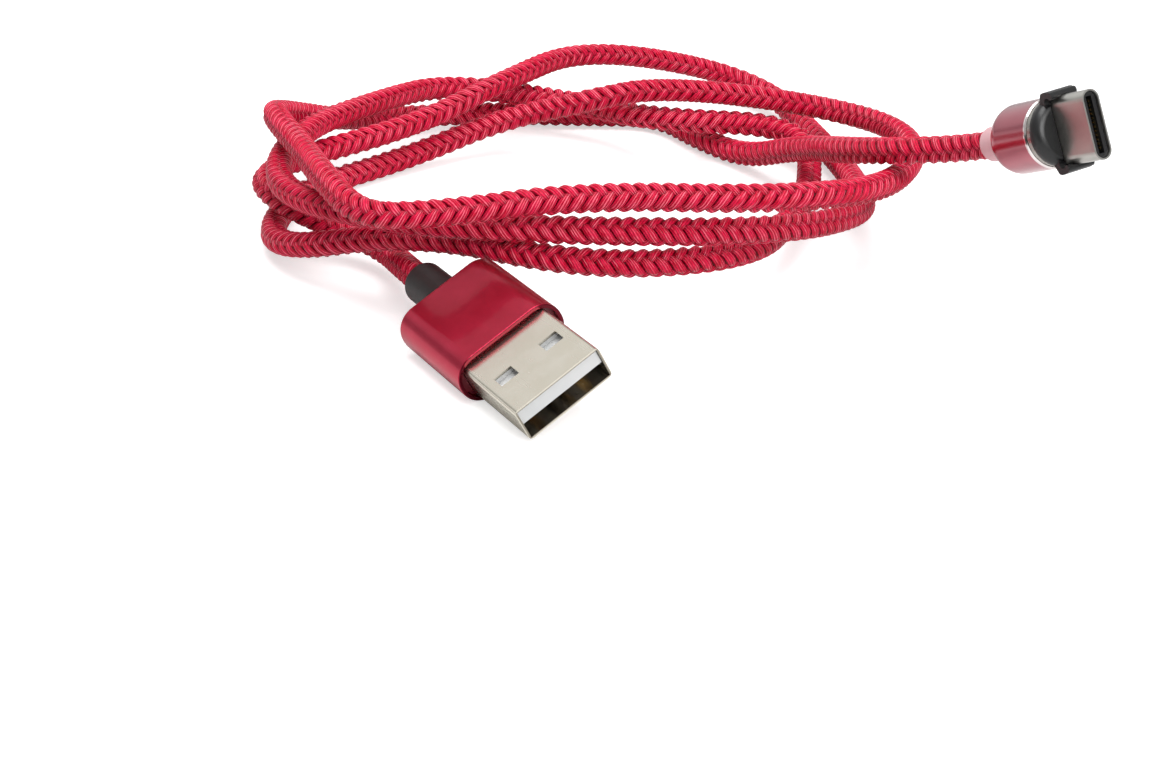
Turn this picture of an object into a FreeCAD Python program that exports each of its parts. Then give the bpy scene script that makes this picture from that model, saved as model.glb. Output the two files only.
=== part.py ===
"""Magnetic charging cable: USB-A plug, braided cord in three loose turns, and a magnetic USB-C tip.

The cable lies on a flat surface. X runs to the right, Y away from the viewer and Z up, in millimetres.
The origin is the middle of the base of the box round the rigid pieces: plug, head and tip.
"""
import FreeCAD, Part
import math
import os
import Sketcher

from FreeCAD import Placement, Rotation, Vector

# Driving dimensions in millimetres, by the piece that they belong to
SIZES = {
    # Clearances shared by the fits
    "slip": 0.05,
    "press_gap": 0.02,
    # USB-A plug sleeve, the red housing
    "sleeve_length": 15.6,
    "sleeve_side": 1.4,
    "sleeve_top": 0.95,
    "sleeve_corner": 3.0,
    "sleeve_wall": 0.45,
    "sleeve_back_wall": 0.8,
    "sleeve_back_edge": 0.5,
    "sleeve_rim": 0.15,
    # USB-A shell and what it holds, to the standard plug's sizes
    "usb_a_width": 12.0,
    "usb_a_height": 4.5,
    "usb_a_reach": 12.0,
    "usb_a_tail": 8.0,
    "usb_a_wall": 0.3,
    "usb_a_corner": 0.6,
    "window_from_tip": 6.2,
    "window_long": 2.0,
    "window_wide": 2.5,
    "window_spacing": 6.5,
    "tongue_thick": 1.9,
    "tongue_setback": 0.3,
    "tongue_root": 3.0,
    "contact_width": 1.0,
    "contact_thick": 0.15,
    "contact_length": 8.4,
    "contact_setback": 1.1,
    "contact_short": 1.0,
    "outer_contact_side": 3.5,
    "inner_contact_side": 1.0,
    "recess_side": 0.3,
    "recess_deep": 0.7,
    "frame_setback": 0.9,
    "frame_back": 0.6,
    "board_thick": 0.8,
    "board_height": 0.9,
    "board_side_gap": 0.3,
    "board_end_gap": 0.4,
    # Collar, where the cord leaves the plug
    "collar_diameter": 5.4,
    "collar_length": 7.35,
    "collar_neck": 4.2,
    "collar_edge": 0.4,
    # Cord
    "cord_diameter": 3.6,
    "wire_bore": 2.4,
    "wire_diameter": 0.6,
    # Magnetic head
    "barrel_diameter": 8.5,
    "barrel_length": 7.9,
    "barrel_shoulder": 2.1,
    "barrel_wall": 0.5,
    "barrel_back_wall": 1.4,
    "light_ring_diameter": 4.3,
    "light_ring_length": 3.8,
    "light_ring_neck": 3.4,
    "front_ring_length": 0.35,
    "front_ring_edge": 0.15,
    "insert_length": 1.5,
    "head_board_thick": 0.6,
    "head_board_gap": 0.1,
    "light_thick": 0.5,
    "light_width": 0.8,
    "light_side": 1.4,
    "magnet_length": 2.7,
    "magnet_bore": 3.6,
    "carrier_length": 1.9,
    "plunger_diameter": 1.8,
    "spring_length": 1.6,
    "spring_wall": 0.3,
    "tube_wall": 0.3,
    "ring_contact_outer": 5.8,
    "ring_contact_inner": 5.0,
    "ring_contact_depth": 0.3,
    # Removable tip
    "tip_gap": 0.05,
    "armature_diameter": 8.1,
    "armature_bore": 6.4,
    "armature_length": 0.6,
    "dome_length": 1.5,
    "dome_face": 5.6,
    "dome_crown": 0.35,
    "tip_contact_diameter": 1.6,
    "tip_board_start": 0.45,
    "tip_board_diameter": 4.9,
    "wing_reach": 4.9,
    "wing_thick": 0.9,
    "wing_width": 3.8,
    "wing_length": 2.7,
    "wing_root": 0.9,
    "wing_nose": 0.5,
    "wing_droop": 0.3,
    # USB-C plug, to the standard plug's sizes
    "usb_c_long": 8.25,
    "usb_c_thin": 2.4,
    "usb_c_wall": 0.2,
    "usb_c_exposed": 5.7,
    "usb_c_start": 1.1,
    "usb_c_insert_setback": 0.35,
    "usb_c_slot_long": 6.7,
    "usb_c_slot_thin": 0.76,
    "usb_c_slot_deep": 4.6,
    "blade_pitch": 0.5,
    "blade_width": 0.25,
    "blade_thick": 0.08,
    "blade_length": 3.4,
    "blade_setback": 0.9,
}
WIRE_COUNT = 4
BLADES_PER_ROW = 12

# Where the plug lies: the middle of its sleeve's front face, then its yaw, pitch and roll in degrees
PLUG_AT = Vector(-27.6, -5.8, 5.24)
PLUG_TURN = Rotation(-59.6, 1.0, 27.7)
# Where the head stands in the air: the end of its light ring, where the cord enters
HEAD_AT = Vector(30.8, 18.1, 22.2)
HEAD_TURN = Rotation(-63.5, -24.0, 5.5)

# The cord's lead from the plug to the loops, below the front strands
PLUG_LEAD = [
    (-46.0, 33.0, 2.6),
    (-62.5, 38.2, 7.8),
]
# How far the cord runs straight out of the plug's collar and out of the head
PLUG_STRAIGHT = 3.8
HEAD_STRAIGHT = 6.0
# The loops run clockwise seen from above, round this middle, with a control point every twelfth of a turn
LOOPS_MIDDLE = (-19.2, 54.6)
POINTS_PER_TURN = 12
# How far each point lies from the middle. A turn starts at the left and goes round by the back.
TURN_REACH = [
    (44.5, 28.5, 27.0, 47.5, 55.5, 41.5, 38.5, 43.0, 46.0, 43.5, 47.0, 47.5),
    (41.1, 36.1, 42.1, 29.0, 20.5, 38.5, 32.0, 32.5, 42.5, 44.1, 42.1, 49.1),
    (42.0, 30.0, 26.5, 18.5, 22.7, 40.1, 46.5, 47.8, 49.5, 43.0),
]
# How high each of the same points is above the floor
TURN_HEIGHT = [
    (6.2, 7.2, 10.5, 9.2, 3.8, 2.0, 3.5, 7.0, 12.0, 13.5, 13.5, 11.2),
    (10.9, 9.6, 6.5, 5.5, 6.9, 5.4, 2.5, 5.0, 7.5, 9.0, 10.8, 2.9),
    (2.0, 2.0, 5.0, 9.5, 11.5, 8.5, 10.9, 12.1, 17.3, 18.0),
]
# The cord's lead from the loops to the head: over the left end, a tight fold, then along the floor
HEAD_LEAD = [
    (-37.2, 7.6, 17.0),
    (-46.2, 8.6, 16.5),
    (-51.7, 20.6, 17.0),
    (-56.2, 35.6, 15.4),
    (-61.2, 47.6, 15.4),
    (-62.2, 53.0, 14.7),
    (-61.0, 62.1, 11.4),
    (-56.3, 75.2, 6.0),
    (-48.7, 86.6, 2.5),
    (-34.7, 90.1, 2.0),
    (-19.7, 89.1, 2.0),
    (-7.7, 88.6, 2.0),
    (-1.7, 77.6, 2.0),
    (4.8, 69.6, 2.0),
    (11.3, 55.9, 8.4),
    (17.2, 33.1, 15.9),
]
RUN_SHARE = 0.45

doc = FreeCAD.newDocument("charging_cable")
nodes = {}


def fill_sheet():
    """Put every driving dimension in the sheet, one row each."""
    sheet = doc.addObject("Spreadsheet::Sheet", "Sizes")
    for row, (name, value) in enumerate(SIZES.items(), start=1):
        sheet.set("A%d" % row, name)
        sheet.set("B%d" % row, repr(value))
        sheet.setAlias("B%d" % row, name)
    doc.recompute()
    return sheet


sheet = fill_sheet()


def size(name):
    """Return a driving dimension from the sheet."""
    return float(sheet.get(name))


def keep(label, feature, placement=None):
    """Label a finished piece, place it and list it for export."""
    feature.Label = label
    if placement is not None:
        feature.Placement = placement
    nodes[label] = feature
    return feature


def solid_node(label, shape, placement=None):
    """Make a node from a shape in its own frame."""
    feature = doc.addObject("Part::Feature", label)
    feature.Shape = shape
    return keep(label, feature, placement)


def bind(sketch, constraint, name, expression):
    """Name a sketch constraint and drive it from the sheet."""
    sketch.renameConstraint(constraint, name)
    sketch.setExpression("Constraints." + name, expression)


def origin_plane(body, role):
    """Return one of a body's own origin planes."""
    return next(item for item in body.Origin.OriginFeatures if item.Role == role)


def new_sketch(body, name, role, offset=0.0):
    """Attach a sketch to an origin plane of its body, moved along the plane's normal."""
    sketch = body.newObject("Sketcher::SketchObject", name)
    sketch.AttachmentSupport = [(origin_plane(body, role), "")]
    sketch.MapMode = "FlatFace"
    sketch.AttachmentOffset = Placement(Vector(0, 0, offset), Rotation())
    return sketch


def rectangle(sketch, width, height, width_name, height_name):
    """Draw a rectangle round the sketch's origin, with driven sides."""
    corners = [Vector(x * width / 2, y * height / 2, 0) for x, y in ((-1, -1), (1, -1), (1, 1), (-1, 1))]
    for start, end in zip(corners, corners[1:] + corners[:1]):
        sketch.addGeometry(Part.LineSegment(start, end))
    for line in range(4):
        sketch.addConstraint(Sketcher.Constraint("Coincident", line, 2, (line + 1) % 4, 1))
    for line in (0, 2):
        sketch.addConstraint(Sketcher.Constraint("Horizontal", line))
    for line in (1, 3):
        sketch.addConstraint(Sketcher.Constraint("Vertical", line))
    sketch.addConstraint(Sketcher.Constraint("Symmetric", 0, 1, 2, 1, -1, 1))
    across = sketch.addConstraint(Sketcher.Constraint("DistanceX", 0, 1, 0, 2, width))
    bind(sketch, across, "width", width_name)
    up = sketch.addConstraint(Sketcher.Constraint("DistanceY", 1, 1, 1, 2, height))
    bind(sketch, up, "height", height_name)


def edges_along(shape, direction):
    """Name a shape's straight edges that run along a direction."""
    names = []
    for number, edge in enumerate(shape.Edges, start=1):
        if isinstance(edge.Curve, Part.Line) and abs(edge.Curve.Direction.dot(direction)) > 0.999:
            names.append("Edge%d" % number)
    return names


def pad(body, sketch, name, length_name):
    """Pad a sketch by a driven length."""
    feature = body.newObject("PartDesign::Pad", name)
    feature.Profile = sketch
    feature.setExpression("Length", length_name)
    doc.recompute()
    return feature


def pocket(body, sketch, name, length_name=None, through=False, reverse=False):
    """Cut a sketch into its body."""
    feature = body.newObject("PartDesign::Pocket", name)
    feature.Profile = sketch
    feature.Reversed = reverse
    if through:
        feature.Type = "ThroughAll"
        feature.Midplane = True
    else:
        feature.setExpression("Length", length_name)
    doc.recompute()
    return feature


def fillet(body, base, names, name, radius_name):
    """Round the named edges of a feature by a driven radius."""
    feature = body.newObject("PartDesign::Fillet", name)
    feature.Base = (base, names)
    feature.setExpression("Radius", radius_name)
    doc.recompute()
    return feature


def cylinder(x_start, x_end, diameter, y=0.0, z=0.0):
    """A round bar along X."""
    return Part.makeCylinder(diameter / 2, x_end - x_start, Vector(x_start, y, z), Vector(1, 0, 0))


def ring(x_start, x_end, outer, inner):
    """A round tube along X."""
    return cylinder(x_start, x_end, outer).cut(cylinder(x_start, x_end, inner))


def box(x_start, x_end, width, thick, y=0.0, z=0.0):
    """A box along X, with its width across Y and its thickness across Z."""
    corner = Vector(x_start, y - width / 2, z - thick / 2)
    return Part.makeBox(x_end - x_start, width, thick, corner)


def rounded_bar(x_start, x_end, width, height, corner):
    """A bar along X with a rounded rectangular section."""
    bar = box(x_start, x_end, width, height)
    along = [edge for edge in bar.Edges if abs(edge.tangentAt(edge.FirstParameter).x) > 0.999]
    return bar.makeFillet(corner, along)


def turned(points):
    """Turn a closed outline of (x, radius) points about X. A point may be an arc's middle, marked 'arc'."""
    edges = []
    place = [Vector(point[0], 0, point[1]) for point in points]
    index = 0
    while index < len(points):
        following = (index + 1) % len(points)
        if len(points[following]) == 3:
            after = (index + 2) % len(points)
            edges.append(Part.Arc(place[index], place[following], place[after]).toShape())
            index += 2
        else:
            edges.append(Part.makeLine(place[index], place[following]))
            index += 1
    face = Part.Face(Part.Wire(edges))
    return face.revolve(Vector(0, 0, 0), Vector(1, 0, 0), 360)


def wires(x_start, x_end):
    """The cord's inner wires, as bars round a circle."""
    turn = 2 * math.pi / WIRE_COUNT
    spread = size("wire_bore") / 4
    spots = [(spread * math.cos(turn * i), spread * math.sin(turn * i)) for i in range(WIRE_COUNT)]
    return Part.makeCompound([cylinder(x_start, x_end, size("wire_diameter"), y, z) for y, z in spots])


# USB-A plug, in its own frame: X towards the mouth, Y to its left, Z up, from the sleeve's front face
PLUG = Placement(PLUG_AT, PLUG_TURN)


# The sleeve's section follows the shell that it holds
SLEEVE_WIDTH = "Sizes.usb_a_width + 2 * Sizes.sleeve_side"
SLEEVE_HEIGHT = "Sizes.usb_a_height + 2 * Sizes.sleeve_top"


def sleeve_section():
    """Return the sleeve's outer width and height."""
    return (size("usb_a_width") + 2 * size("sleeve_side"),
            size("usb_a_height") + 2 * size("sleeve_top"))


def edges_at(shape, x):
    """Name a shape's edges that lie in the plane across X at a place."""
    names = []
    for number, edge in enumerate(shape.Edges, start=1):
        bounds = edge.BoundBox
        if abs(bounds.XMin - x) < 0.01 and abs(bounds.XMax - x) < 0.01:
            names.append("Edge%d" % number)
    return names


def make_sleeve():
    """The red metal sleeve: a rounded bar, hollow from the front, with a hole for the collar's neck."""
    body = doc.addObject("PartDesign::Body", "sleeve_body")
    outline = new_sketch(body, "sleeve_outline", "YZ_Plane")
    width, height = sleeve_section()
    rectangle(outline, width, height, SLEEVE_WIDTH, SLEEVE_HEIGHT)
    bar = body.newObject("PartDesign::Pad", "sleeve_bar")
    bar.Profile = outline
    bar.Reversed = True
    bar.setExpression("Length", "Sizes.sleeve_length")
    doc.recompute()
    corners = edges_along(bar.Shape, Vector(1, 0, 0))
    rounded = fillet(body, bar, corners, "sleeve_corners", "Sizes.sleeve_corner")
    back = -size("sleeve_length")
    behind = fillet(body, rounded, edges_at(rounded.Shape, back), "back_edge", "Sizes.sleeve_back_edge")
    fillet(body, behind, edges_at(behind.Shape, 0.0), "front_edge", "Sizes.sleeve_rim")
    hole = new_sketch(body, "sleeve_hole", "YZ_Plane", back - 1)
    hole.addGeometry(Part.Circle(Vector(0, 0, 0), Vector(0, 0, 1), size("collar_neck") / 2))
    hole.addConstraint(Sketcher.Constraint("Coincident", 0, 3, -1, 1))
    across = hole.addConstraint(Sketcher.Constraint("Diameter", 0, size("collar_neck")))
    bind(hole, across, "hole", "Sizes.collar_neck + 2 * Sizes.slip")
    before = body.Shape.Volume
    cut = pocket(body, hole, "sleeve_back_hole", "Sizes.sleeve_back_wall + 2")
    if body.Shape.Volume >= before - 0.1:
        cut.Reversed = True
        doc.recompute()
    doc.recompute()
    wall = size("sleeve_wall")
    hollow = rounded_bar(back + size("sleeve_back_wall"), 1.0, width - 2 * wall, height - 2 * wall,
                         size("sleeve_corner") - wall)
    tool = doc.addObject("Part::Feature", "sleeve_hollow")
    tool.Shape = hollow
    sleeve = doc.addObject("Part::Cut", "usb_a_sleeve")
    sleeve.Base = body
    sleeve.Tool = tool
    doc.recompute()
    return keep("usb_a_sleeve", sleeve, PLUG)


def make_usb_a_shell():
    """The steel shell: a folded box with two windows above and two below."""
    body = doc.addObject("PartDesign::Body", "shell_body")
    outline = new_sketch(body, "shell_outline", "YZ_Plane", -size("usb_a_tail"))
    outline.setExpression("AttachmentOffset.Base.z", "-Sizes.usb_a_tail")
    rectangle(outline, size("usb_a_width"), size("usb_a_height"),
              "Sizes.usb_a_width", "Sizes.usb_a_height")
    bar = pad(body, outline, "shell_bar", "Sizes.usb_a_tail + Sizes.usb_a_reach")
    corners = edges_along(bar.Shape, Vector(1, 0, 0))
    rounded = fillet(body, bar, corners, "shell_corners", "Sizes.usb_a_corner")
    mouth = new_sketch(body, "shell_mouth", "YZ_Plane", size("usb_a_reach"))
    mouth.setExpression("AttachmentOffset.Base.z", "Sizes.usb_a_reach")
    wall = size("usb_a_wall")
    rectangle(mouth, size("usb_a_width") - 2 * wall, size("usb_a_height") - 2 * wall,
              "Sizes.usb_a_width - 2 * Sizes.usb_a_wall",
              "Sizes.usb_a_height - 2 * Sizes.usb_a_wall")
    before = body.Shape.Volume
    cut = pocket(body, mouth, "shell_hollow", "Sizes.usb_a_tail + Sizes.usb_a_reach + 1")
    if body.Shape.Volume >= before - 1:
        cut.Reversed = True
        doc.recompute()
    windows = new_sketch(body, "shell_windows", "XY_Plane")
    middle_x = size("usb_a_reach") - size("window_from_tip")
    middle_y = size("window_spacing") / 2
    half_x, half_y = size("window_long") / 2, size("window_wide") / 2
    for side in (-1, 1):
        first = windows.GeometryCount
        corners = [Vector(middle_x + x * half_x, side * middle_y + y * half_y, 0)
                   for x, y in ((-1, -1), (1, -1), (1, 1), (-1, 1))]
        for start, end in zip(corners, corners[1:] + corners[:1]):
            windows.addGeometry(Part.LineSegment(start, end))
        for line in range(4):
            windows.addConstraint(
                Sketcher.Constraint("Coincident", first + line, 2, first + (line + 1) % 4, 1))
            kind = "Horizontal" if line % 2 == 0 else "Vertical"
            windows.addConstraint(Sketcher.Constraint(kind, first + line))
        near = windows.addConstraint(Sketcher.Constraint("DistanceX", -1, 1, first, 1, middle_x - half_x))
        tag = "left" if side > 0 else "right"
        bind(windows, near, "back_" + tag,
             "Sizes.usb_a_reach - Sizes.window_from_tip - Sizes.window_long / 2")
        along = windows.addConstraint(
            Sketcher.Constraint("DistanceX", first, 1, first, 2, 2 * half_x))
        bind(windows, along, "long_" + tag, "Sizes.window_long")
        wide = windows.addConstraint(
            Sketcher.Constraint("DistanceY", first + 1, 1, first + 1, 2, 2 * half_y))
        bind(windows, wide, "wide_" + tag, "Sizes.window_wide")
        # Both windows are held by the edge that lies nearer the plug's middle line
        inner = (first, 1) if side > 0 else (first + 2, 1)
        gap = middle_y - half_y
        if side > 0:
            out = windows.addConstraint(Sketcher.Constraint("DistanceY", -1, 1, inner[0], inner[1], gap))
        else:
            out = windows.addConstraint(Sketcher.Constraint("DistanceY", inner[0], inner[1], -1, 1, gap))
        bind(windows, out, "in_" + tag, "(Sizes.window_spacing - Sizes.window_wide) / 2")
    pocket(body, windows, "shell_window_cut", through=True)
    doc.recompute()
    return keep("usb_a_shell", body, PLUG)


def make_contacts():
    """The four gold contacts under the tongue, one long and one short pair."""
    front = size("usb_a_reach") - size("contact_setback")
    tongue_face = size("usb_a_height") / 2 - size("usb_a_wall") - size("slip") - size("tongue_thick")
    thick = size("contact_thick")
    bars = []
    for side in (-1, 1):
        for name, short in (("outer_contact_side", 0.0), ("inner_contact_side", size("contact_short"))):
            bars.append(box(front - size("contact_length"), front - short, size("contact_width"), thick,
                            side * size(name), tongue_face - thick / 2))
    return solid_node("usb_a_contacts", Part.makeCompound(bars), PLUG)


def make_tongue(root, inner_width, top):
    """The white tongue against the shell's roof, with a recess below each upper window."""
    thick, side, deep = size("tongue_thick"), size("recess_side"), size("recess_deep")
    tongue = box(root, size("usb_a_reach") - size("tongue_setback"), inner_width, thick, 0, top - thick / 2)
    middle = size("usb_a_reach") - size("window_from_tip")
    half = size("window_long") / 2 + side
    recesses = [box(middle - half, middle + half, size("window_wide") + 2 * side, 2 * deep,
                    way * size("window_spacing") / 2, top) for way in (-1, 1)]
    solid_node("usb_a_tongue", tongue.cut(recesses), PLUG)


def make_plug_inside():
    """The tongue, board, frame and cap inside the shell and the sleeve."""
    slip, wall = size("slip"), size("usb_a_wall")
    inner_width = size("usb_a_width") - 2 * wall - 2 * slip
    root, tail = -size("tongue_root"), -size("usb_a_tail")
    make_tongue(root, inner_width, size("usb_a_height") / 2 - wall - slip)
    board = box(tail + size("board_end_gap"), root - slip, inner_width - 2 * size("board_side_gap"),
                size("board_thick"), 0, size("board_height"))
    solid_node("usb_a_circuit_board", board, PLUG)
    sleeve_wall = size("sleeve_wall") + slip
    width, height = sleeve_section()
    outer = (width - 2 * sleeve_wall, height - 2 * sleeve_wall, size("sleeve_corner") - sleeve_wall)
    opening = rounded_bar(tail - slip, 1.0, size("usb_a_width") + 2 * slip,
                          size("usb_a_height") + 2 * slip, size("usb_a_corner") + slip)
    frame_end = tail - slip - size("frame_back")
    frame = rounded_bar(frame_end, -size("frame_setback"), *outer).cut(opening)
    solid_node("usb_a_inner_frame", frame.cut(cylinder(frame_end, 0, size("wire_bore"))), PLUG)
    back = -size("sleeve_length") + size("sleeve_back_wall") + slip
    cap = rounded_bar(back, frame_end - slip, *outer).cut(cylinder(back, 0, size("wire_bore")))
    solid_node("usb_a_back_cap", cap, PLUG)
    leads = wires(-size("sleeve_length") - size("collar_length"), tail - slip)
    solid_node("usb_a_wires", leads, PLUG)


def make_collar():
    """The dark grey collar that the cord leaves by, with its neck in the sleeve's back wall."""
    back = -size("sleeve_length") - size("collar_length")
    face = -size("sleeve_length") - size("slip")
    neck_end = -size("sleeve_length") + size("sleeve_back_wall")
    radius, neck, edge = size("collar_diameter") / 2, size("collar_neck") / 2, size("collar_edge")
    bore = size("wire_bore") / 2
    cut = edge * (1 - math.sqrt(0.5))
    outline = [(back, bore), (back, radius - edge), (back + cut, radius - cut, "arc"),
               (back + edge, radius), (face, radius), (face, neck), (neck_end, neck), (neck_end, bore)]
    solid_node("usb_a_collar", turned(outline), PLUG)


# Magnetic head, in its own frame: X towards the tip, Z along the USB-C plug's long side
BARREL_BACK = Placement(Vector(size("light_ring_length"), 0, 0), Rotation())
HEAD = Placement(HEAD_AT, HEAD_TURN).multiply(BARREL_BACK)


def make_barrel():
    """The red barrel with its rounded back shoulder."""
    radius, length = size("barrel_diameter") / 2, size("barrel_length")
    round_off, wall, back = size("barrel_shoulder"), size("barrel_wall"), size("barrel_back_wall")
    hole = size("light_ring_neck") / 2 + size("slip")
    cut = round_off * (1 - math.sqrt(0.5))
    outline = [(0, hole), (0, radius - round_off), (cut, radius - cut, "arc"), (round_off, radius),
               (length, radius), (length, radius - wall), (back, radius - wall), (back, hole)]
    solid_node("head_barrel", turned(outline), HEAD)


def make_light_ring():
    """The frosted ring behind the barrel that the light shines through."""
    radius, bore = size("light_ring_diameter") / 2, size("wire_bore") / 2
    neck, length = size("light_ring_neck") / 2, size("light_ring_length")
    outline = [(-length, bore), (-length, radius), (0, radius), (0, neck),
               (size("barrel_back_wall"), neck), (size("barrel_back_wall"), bore)]
    solid_node("head_light_ring", turned(outline), HEAD)


def make_head_inside():
    """What the barrel holds, from the back to the front."""
    slip = size("slip")
    inner = size("barrel_diameter") - 2 * size("barrel_wall") - 2 * slip
    insert_back = size("barrel_back_wall") + slip
    board_back = insert_back + size("insert_length")
    magnet_back = board_back + size("head_board_thick") + slip
    carrier_back = magnet_back + size("magnet_length") + slip
    carrier_front = carrier_back + size("carrier_length")
    insert = ring(insert_back, board_back - slip, inner, size("light_ring_neck"))
    solid_node("head_rear_insert", insert, HEAD)
    board = cylinder(board_back, magnet_back - slip, inner - 2 * size("head_board_gap"))
    solid_node("head_circuit_board", board, HEAD)
    thick = size("light_thick")
    light = box(board_back - thick, board_back, thick, size("light_width"), size("light_side"))
    solid_node("head_light", light, HEAD)
    solid_node("head_wires", wires(-size("light_ring_length"), board_back), HEAD)
    solid_node("head_magnet", ring(magnet_back, carrier_back - slip, inner, size("magnet_bore")), HEAD)
    tube_bore = size("plunger_diameter") + 2 * slip
    tube_outer = tube_bore + 2 * size("tube_wall")
    solid_node("head_plunger_tube", ring(magnet_back, carrier_front, tube_outer, tube_bore), HEAD)
    carrier = ring(carrier_back, carrier_front, inner, tube_outer + 2 * slip)
    groove_back = carrier_front - size("ring_contact_depth")
    groove = ring(groove_back, carrier_front, size("ring_contact_outer"), size("ring_contact_inner"))
    solid_node("head_contact_carrier", carrier.cut(groove), HEAD)
    contact = ring(groove_back, carrier_front, size("ring_contact_outer") - 2 * size("press_gap"),
                   size("ring_contact_inner") + 2 * size("press_gap"))
    solid_node("head_ring_contact", contact, HEAD)
    plunger_back = magnet_back + size("spring_length")
    plunger = cylinder(plunger_back, carrier_front, size("plunger_diameter"))
    solid_node("head_plunger", plunger, HEAD)
    spring_outer = size("plunger_diameter") - 2 * slip
    spring = ring(magnet_back, plunger_back, spring_outer, spring_outer - 2 * size("spring_wall"))
    solid_node("head_plunger_spring", spring, HEAD)
    return carrier_front


def make_front_ring(carrier_front):
    """The bright ring round the head's front."""
    radius, inner = size("barrel_diameter") / 2, size("barrel_diameter") / 2 - size("barrel_wall")
    start = size("barrel_length")
    end = start + size("front_ring_length")
    edge = size("front_ring_edge")
    outline = [(start, inner), (start, radius), (end - edge, radius), (end, radius - edge), (end, inner)]
    solid_node("head_front_ring", turned(outline), HEAD)
    return max(end, carrier_front)


def oval_bar(x_start, x_end, long, thin):
    """A bar along X with a section of two half circles, long across Z."""
    flat = box(x_start, x_end, thin, long - thin)
    ends = [cylinder(x_start, x_end, thin, 0, side * (long - thin) / 2) for side in (-1, 1)]
    return flat.fuse(ends).removeSplitter()


def make_wing(side, start):
    """One grip wing: a short thick lip that curls forward over an end of the USB-C plug's long side."""
    reach, thick, length = size("wing_reach"), size("wing_thick"), size("wing_length")
    root, nose = size("armature_diameter") / 2 - size("wing_root"), size("wing_nose")
    droop, end = size("wing_droop"), start + length

    def place(x, z):
        return Vector(x, 0, side * z)

    heel, rise = place(start, root), place(start + length * 0.3, reach - droop / 2)
    top, crest = place(start + length * 0.55, reach), place(end - nose, reach - droop / 2)
    front, under = place(end, reach - droop - thick / 2), place(end - nose, reach - droop / 2 - thick)
    hollow, foot = place(start + length / 2, reach - thick), place(start + size("dome_length"), root)
    edges = [Part.makeLine(heel, rise), Part.Arc(rise, top, crest).toShape(),
             Part.Arc(crest, front, under).toShape(), Part.Arc(under, hollow, foot).toShape(),
             Part.makeLine(foot, heel)]
    width = size("wing_width")
    face = Part.Face(Part.Wire(edges))
    face.translate(Vector(0, -width / 2, 0))
    return face.extrude(Vector(0, width, 0))


def make_tip_body(start, dome_back, face, board_back, shell_back):
    """The black body: a domed disc with two wings, hollowed for the board, the contacts and the plug."""
    slip, radius = size("slip"), size("armature_diameter") / 2
    core, face_radius = size("armature_bore") / 2 - slip, size("dome_face") / 2
    crown = (dome_back + (face - dome_back) * 0.75, (radius + face_radius) / 2 + size("dome_crown"), "arc")
    body = turned([(start, 0), (start, core), (dome_back, core), (dome_back, radius), crown,
                   (face, face_radius), (face, 0)])
    for side in (-1, 1):
        body = body.fuse(make_wing(side, dome_back))
    board_end, groove_end = shell_back - slip, start + size("ring_contact_depth")
    hollows = [
        cylinder(board_back, board_end, size("tip_board_diameter") + 2 * slip),
        oval_bar(board_end, face + size("usb_c_exposed"),
                 size("usb_c_long") + 2 * slip, size("usb_c_thin") + 2 * slip),
        cylinder(start, board_back, size("tip_contact_diameter")),
        ring(start, groove_end, size("ring_contact_outer"), size("ring_contact_inner")),
    ]
    return body.cut(hollows).removeSplitter()


def make_tip(start):
    """The removable tip: steel ring, black body with wings, contacts and USB-C plug."""
    slip, gap = size("slip"), size("press_gap")
    ring_end = start + size("armature_length")
    armature = ring(start, ring_end, size("armature_diameter"), size("armature_bore"))
    solid_node("tip_steel_ring", armature, HEAD)
    face = ring_end + size("dome_length")
    board_back, shell_back = start + size("tip_board_start"), start + size("usb_c_start")
    solid_node("tip_body", make_tip_body(start, ring_end + slip, face, board_back, shell_back), HEAD)
    centre = cylinder(start, board_back - gap, size("tip_contact_diameter") - 2 * gap)
    solid_node("tip_centre_contact", centre, HEAD)
    contact = ring(start, start + size("ring_contact_depth") - gap, size("ring_contact_outer") - 2 * gap,
                   size("ring_contact_inner") + 2 * gap)
    solid_node("tip_ring_contact", contact, HEAD)
    board = cylinder(board_back + gap, shell_back - slip - gap, size("tip_board_diameter"))
    solid_node("tip_circuit_board", board, HEAD)
    make_usb_c(shell_back, face + size("usb_c_exposed"))


def make_usb_c(back, front):
    """The USB-C plug: bright shell, black insert with its slot, and two rows of gold blades."""
    long, thin, wall, slip = size("usb_c_long"), size("usb_c_thin"), size("usb_c_wall"), size("slip")
    outer = oval_bar(back, front, long, thin)
    inner = oval_bar(back, front, long - 2 * wall, thin - 2 * wall)
    solid_node("usb_c_shell", outer.cut(inner), HEAD)
    insert = oval_bar(back, front - size("usb_c_insert_setback"), long - 2 * wall - 2 * slip,
                      thin - 2 * wall - 2 * slip)
    slot = box(front - size("usb_c_slot_deep"), front, size("usb_c_slot_thin"), size("usb_c_slot_long"))
    solid_node("usb_c_insert", insert.cut(slot), HEAD)
    blades = []
    blade_front = front - size("blade_setback")
    for row in (-1, 1):
        y = row * (size("usb_c_slot_thin") - size("blade_thick")) / 2
        for number in range(BLADES_PER_ROW):
            z = (number - (BLADES_PER_ROW - 1) / 2) * size("blade_pitch")
            blades.append(box(blade_front - size("blade_length"), blade_front, size("blade_thick"),
                              size("blade_width"), y, z))
    solid_node("usb_c_contacts", Part.makeCompound(blades), HEAD)


# The cord's route
def loop_points():
    """Work out the loops' control points, clockwise seen from above."""
    points = []
    step = 2 * math.pi / POINTS_PER_TURN
    for reaches, heights in zip(TURN_REACH, TURN_HEIGHT):
        for number, (reach, height) in enumerate(zip(reaches, heights)):
            angle = math.pi - number * step
            points.append(Vector(LOOPS_MIDDLE[0] + reach * math.cos(angle),
                                 LOOPS_MIDDLE[1] + reach * math.sin(angle), height))
    return points


def unit(vector):
    """Return the vector at length one."""
    return vector * (1.0 / vector.Length)


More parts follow.
